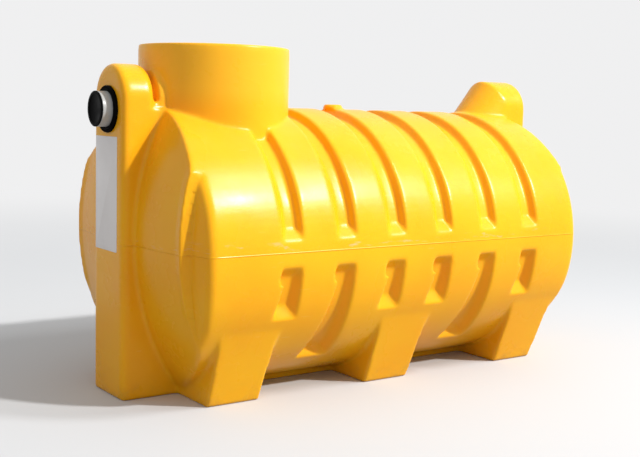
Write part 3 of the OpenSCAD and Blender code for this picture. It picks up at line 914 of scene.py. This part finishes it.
class TANK_OT_set_stage(bpy.types.Operator):
    """Lay the floor and set the lights and the camera"""

    bl_idname = "tank.set_stage"
    bl_label = "Set the stage"

    def execute(self, context):
        look = context.scene.tank_stage
        self.lay_floor(look)
        self.set_lights(context, look)
        self.set_camera(context)
        context.scene.view_settings.view_transform = "Standard"
        return {"FINISHED"}

    def lay_floor(self, look):
        bm = bmesh.new()
        bmesh.ops.create_grid(bm, x_segments=1, y_segments=1, size=60.0)
        mesh = bpy.data.meshes.new("floor")
        bm.to_mesh(mesh)
        bm.free()
        floor = bpy.data.objects.new("floor", mesh)
        bpy.context.scene.collection.objects.link(floor)
        material, s, surface, place = start_material("pale floor")
        seen = self.seen(s)
        drift = s.between(s.noise(place, 0.6, 3.0, 0.5), 0.3, 0.7, 0.0, 0.2)
        shown = s.mix(drift, rgba(look.floor), (0.57, 0.588, 0.613, 1.0))
        s.feed(surface.inputs["Base Color"], s.mix(seen, rgba(look.bounce), shown))
        surface.inputs["Roughness"].default_value = 0.8
        surface.inputs["Specular IOR Level"].default_value = 0.1
        # far off, the floor runs into the backdrop
        far = s.node("ShaderNodeVectorMath", operation="LENGTH")
        s.feed(far.inputs[0], place)
        fade = s.maths("MULTIPLY", s.between(far.outputs["Value"], 2.2, 7.5), seen)
        glow = s.node("ShaderNodeEmission")
        glow.inputs["Color"].default_value = rgba(look.backdrop)
        glow.inputs["Strength"].default_value = 1.0
        mixed = s.node("ShaderNodeMixShader")
        s.feed(mixed.inputs["Fac"], fade)
        s.feed(mixed.inputs[1], surface.outputs["BSDF"])
        s.feed(mixed.inputs[2], glow.outputs["Emission"])
        out = next(n for n in material.node_tree.nodes if n.type == "OUTPUT_MATERIAL")
        s.feed(out.inputs["Surface"], mixed.outputs["Shader"])
        mesh.materials.append(material)

    def seen(self, s):
        """1 where the camera, a reflection or clear stuff looks at the stage."""
        path = s.node("ShaderNodeLightPath")
        seen = s.maths("MAXIMUM", path.outputs["Is Camera Ray"], path.outputs["Is Glossy Ray"])
        return s.maths("MAXIMUM", seen, path.outputs["Is Transmission Ray"])

    def set_lights(self, context, look):
        world = bpy.data.worlds.new("even sky")
        context.scene.world = world
        world.use_nodes = True
        world.node_tree.nodes.clear()
        s = Shader(world.node_tree)
        out = s.node("ShaderNodeOutputWorld")
        light = s.node("ShaderNodeBackground")
        light.inputs["Color"].default_value = (1.0, 0.99, 0.97, 1.0)
        light.inputs["Strength"].default_value = look.sky
        shown = s.node("ShaderNodeBackground")
        shown.inputs["Color"].default_value = rgba(look.backdrop)
        shown.inputs["Strength"].default_value = 1.0
        mix = s.node("ShaderNodeMixShader")
        s.feed(mix.inputs["Fac"], self.seen(s))
        s.feed(mix.inputs[1], light.outputs[0])
        s.feed(mix.inputs[2], shown.outputs[0])
        s.feed(out.inputs["Surface"], mix.outputs[0])
        self.add_key(context, look)
        self.add_softbox(context, look)

    def add_key(self, context, look):
        lamp = bpy.data.lights.new("key", "SUN")
        lamp.energy = look.key
        lamp.angle = math.radians(3)
        lamp.color = (1.0, 0.98, 0.95)
        self.place_lamp(context, lamp, Vector((0.46, -0.6, 0.64)) * 6)

    def add_softbox(self, context, look):
        lamp = bpy.data.lights.new("softbox", "AREA")
        lamp.shape = "RECTANGLE"
        lamp.size, lamp.size_y = 0.5, 1.4
        lamp.energy = look.softbox
        self.place_lamp(context, lamp, Vector((0.4, -0.5, 0.77)) * 4.6)

    def place_lamp(self, context, lamp, place):
        obj = bpy.data.objects.new(lamp.name + "_lamp", lamp)
        aim = (Vector((0, 0, 0.6)) - place).to_track_quat("-Z", "Y")
        obj.matrix_world = Matrix.Translation(place) @ aim.to_matrix().to_4x4()
        context.scene.collection.objects.link(obj)

    def set_camera(self, context):
        lens = bpy.data.cameras.new("front_three_quarter")
        lens.sensor_width = 36.0
        lens.lens = CAMERA_LENS
        lens.clip_end = 200.0
        yaw, pitch, roll = (math.radians(degrees) for degrees in CAMERA_TURN)
        ahead = Vector((math.sin(yaw) * math.cos(pitch), math.cos(yaw) * math.cos(pitch), -math.sin(pitch)))
        right = Vector((math.cos(yaw), -math.sin(yaw), 0))
        up = right.cross(ahead)
        right_rolled = right * math.cos(roll) + up * math.sin(roll)
        up_rolled = up * math.cos(roll) - right * math.sin(roll)
        turn = Matrix((right_rolled, up_rolled, -ahead)).transposed()
        camera = bpy.data.objects.new("camera", lens)
        camera.matrix_world = Matrix.Translation(CAMERA_PLACE) @ turn.to_4x4()
        context.scene.collection.objects.link(camera)
        context.scene.camera = camera


STEPS = (
    TANK_OT_mould_shell,
    TANK_OT_line_neck,
    TANK_OT_parting_line,
    TANK_OT_fit_pipes,
    TANK_OT_fix_plate,
    TANK_OT_set_stage,
)


class TANK_PT_dresser(bpy.types.Panel):
    """Buttons for each piece of the tank"""

    bl_label = "Septic tank"
    bl_idname = "TANK_PT_dresser"
    bl_space_type = "VIEW_3D"
    bl_region_type = "UI"
    bl_category = "Septic tank"

    def draw(self, context):
        for group, look in GROUPS:
            column = self.layout.column(align=True)
            for name in look.__annotations__:
                column.prop(getattr(context.scene, group), name)
        for step in STEPS:
            self.layout.operator(step.bl_idname)


CLASSES = (ShellLook, PipeLook, PlateSize, StageLook) + STEPS + (TANK_PT_dresser,)
GROUPS = (
    ("tank_shell", ShellLook),
    ("tank_pipes", PipeLook),
    ("tank_plate", PlateSize),
    ("tank_stage", StageLook),
)


def register():
    for cls in CLASSES:
        bpy.utils.register_class(cls)
    for name, group in GROUPS:
        setattr(bpy.types.Scene, name, PointerProperty(type=group))


def unregister():
    for name, _ in GROUPS:
        delattr(bpy.types.Scene, name)
    for cls in reversed(CLASSES):
        bpy.utils.unregister_class(cls)


def main():
    register()
    bpy.ops.tank.mould_shell()
    bpy.ops.tank.line_neck()
    bpy.ops.tank.parting_line()
    bpy.ops.tank.fit_pipes()
    bpy.ops.tank.fix_plate()
    bpy.ops.tank.set_stage()


if __name__ == "__main__":
    main()
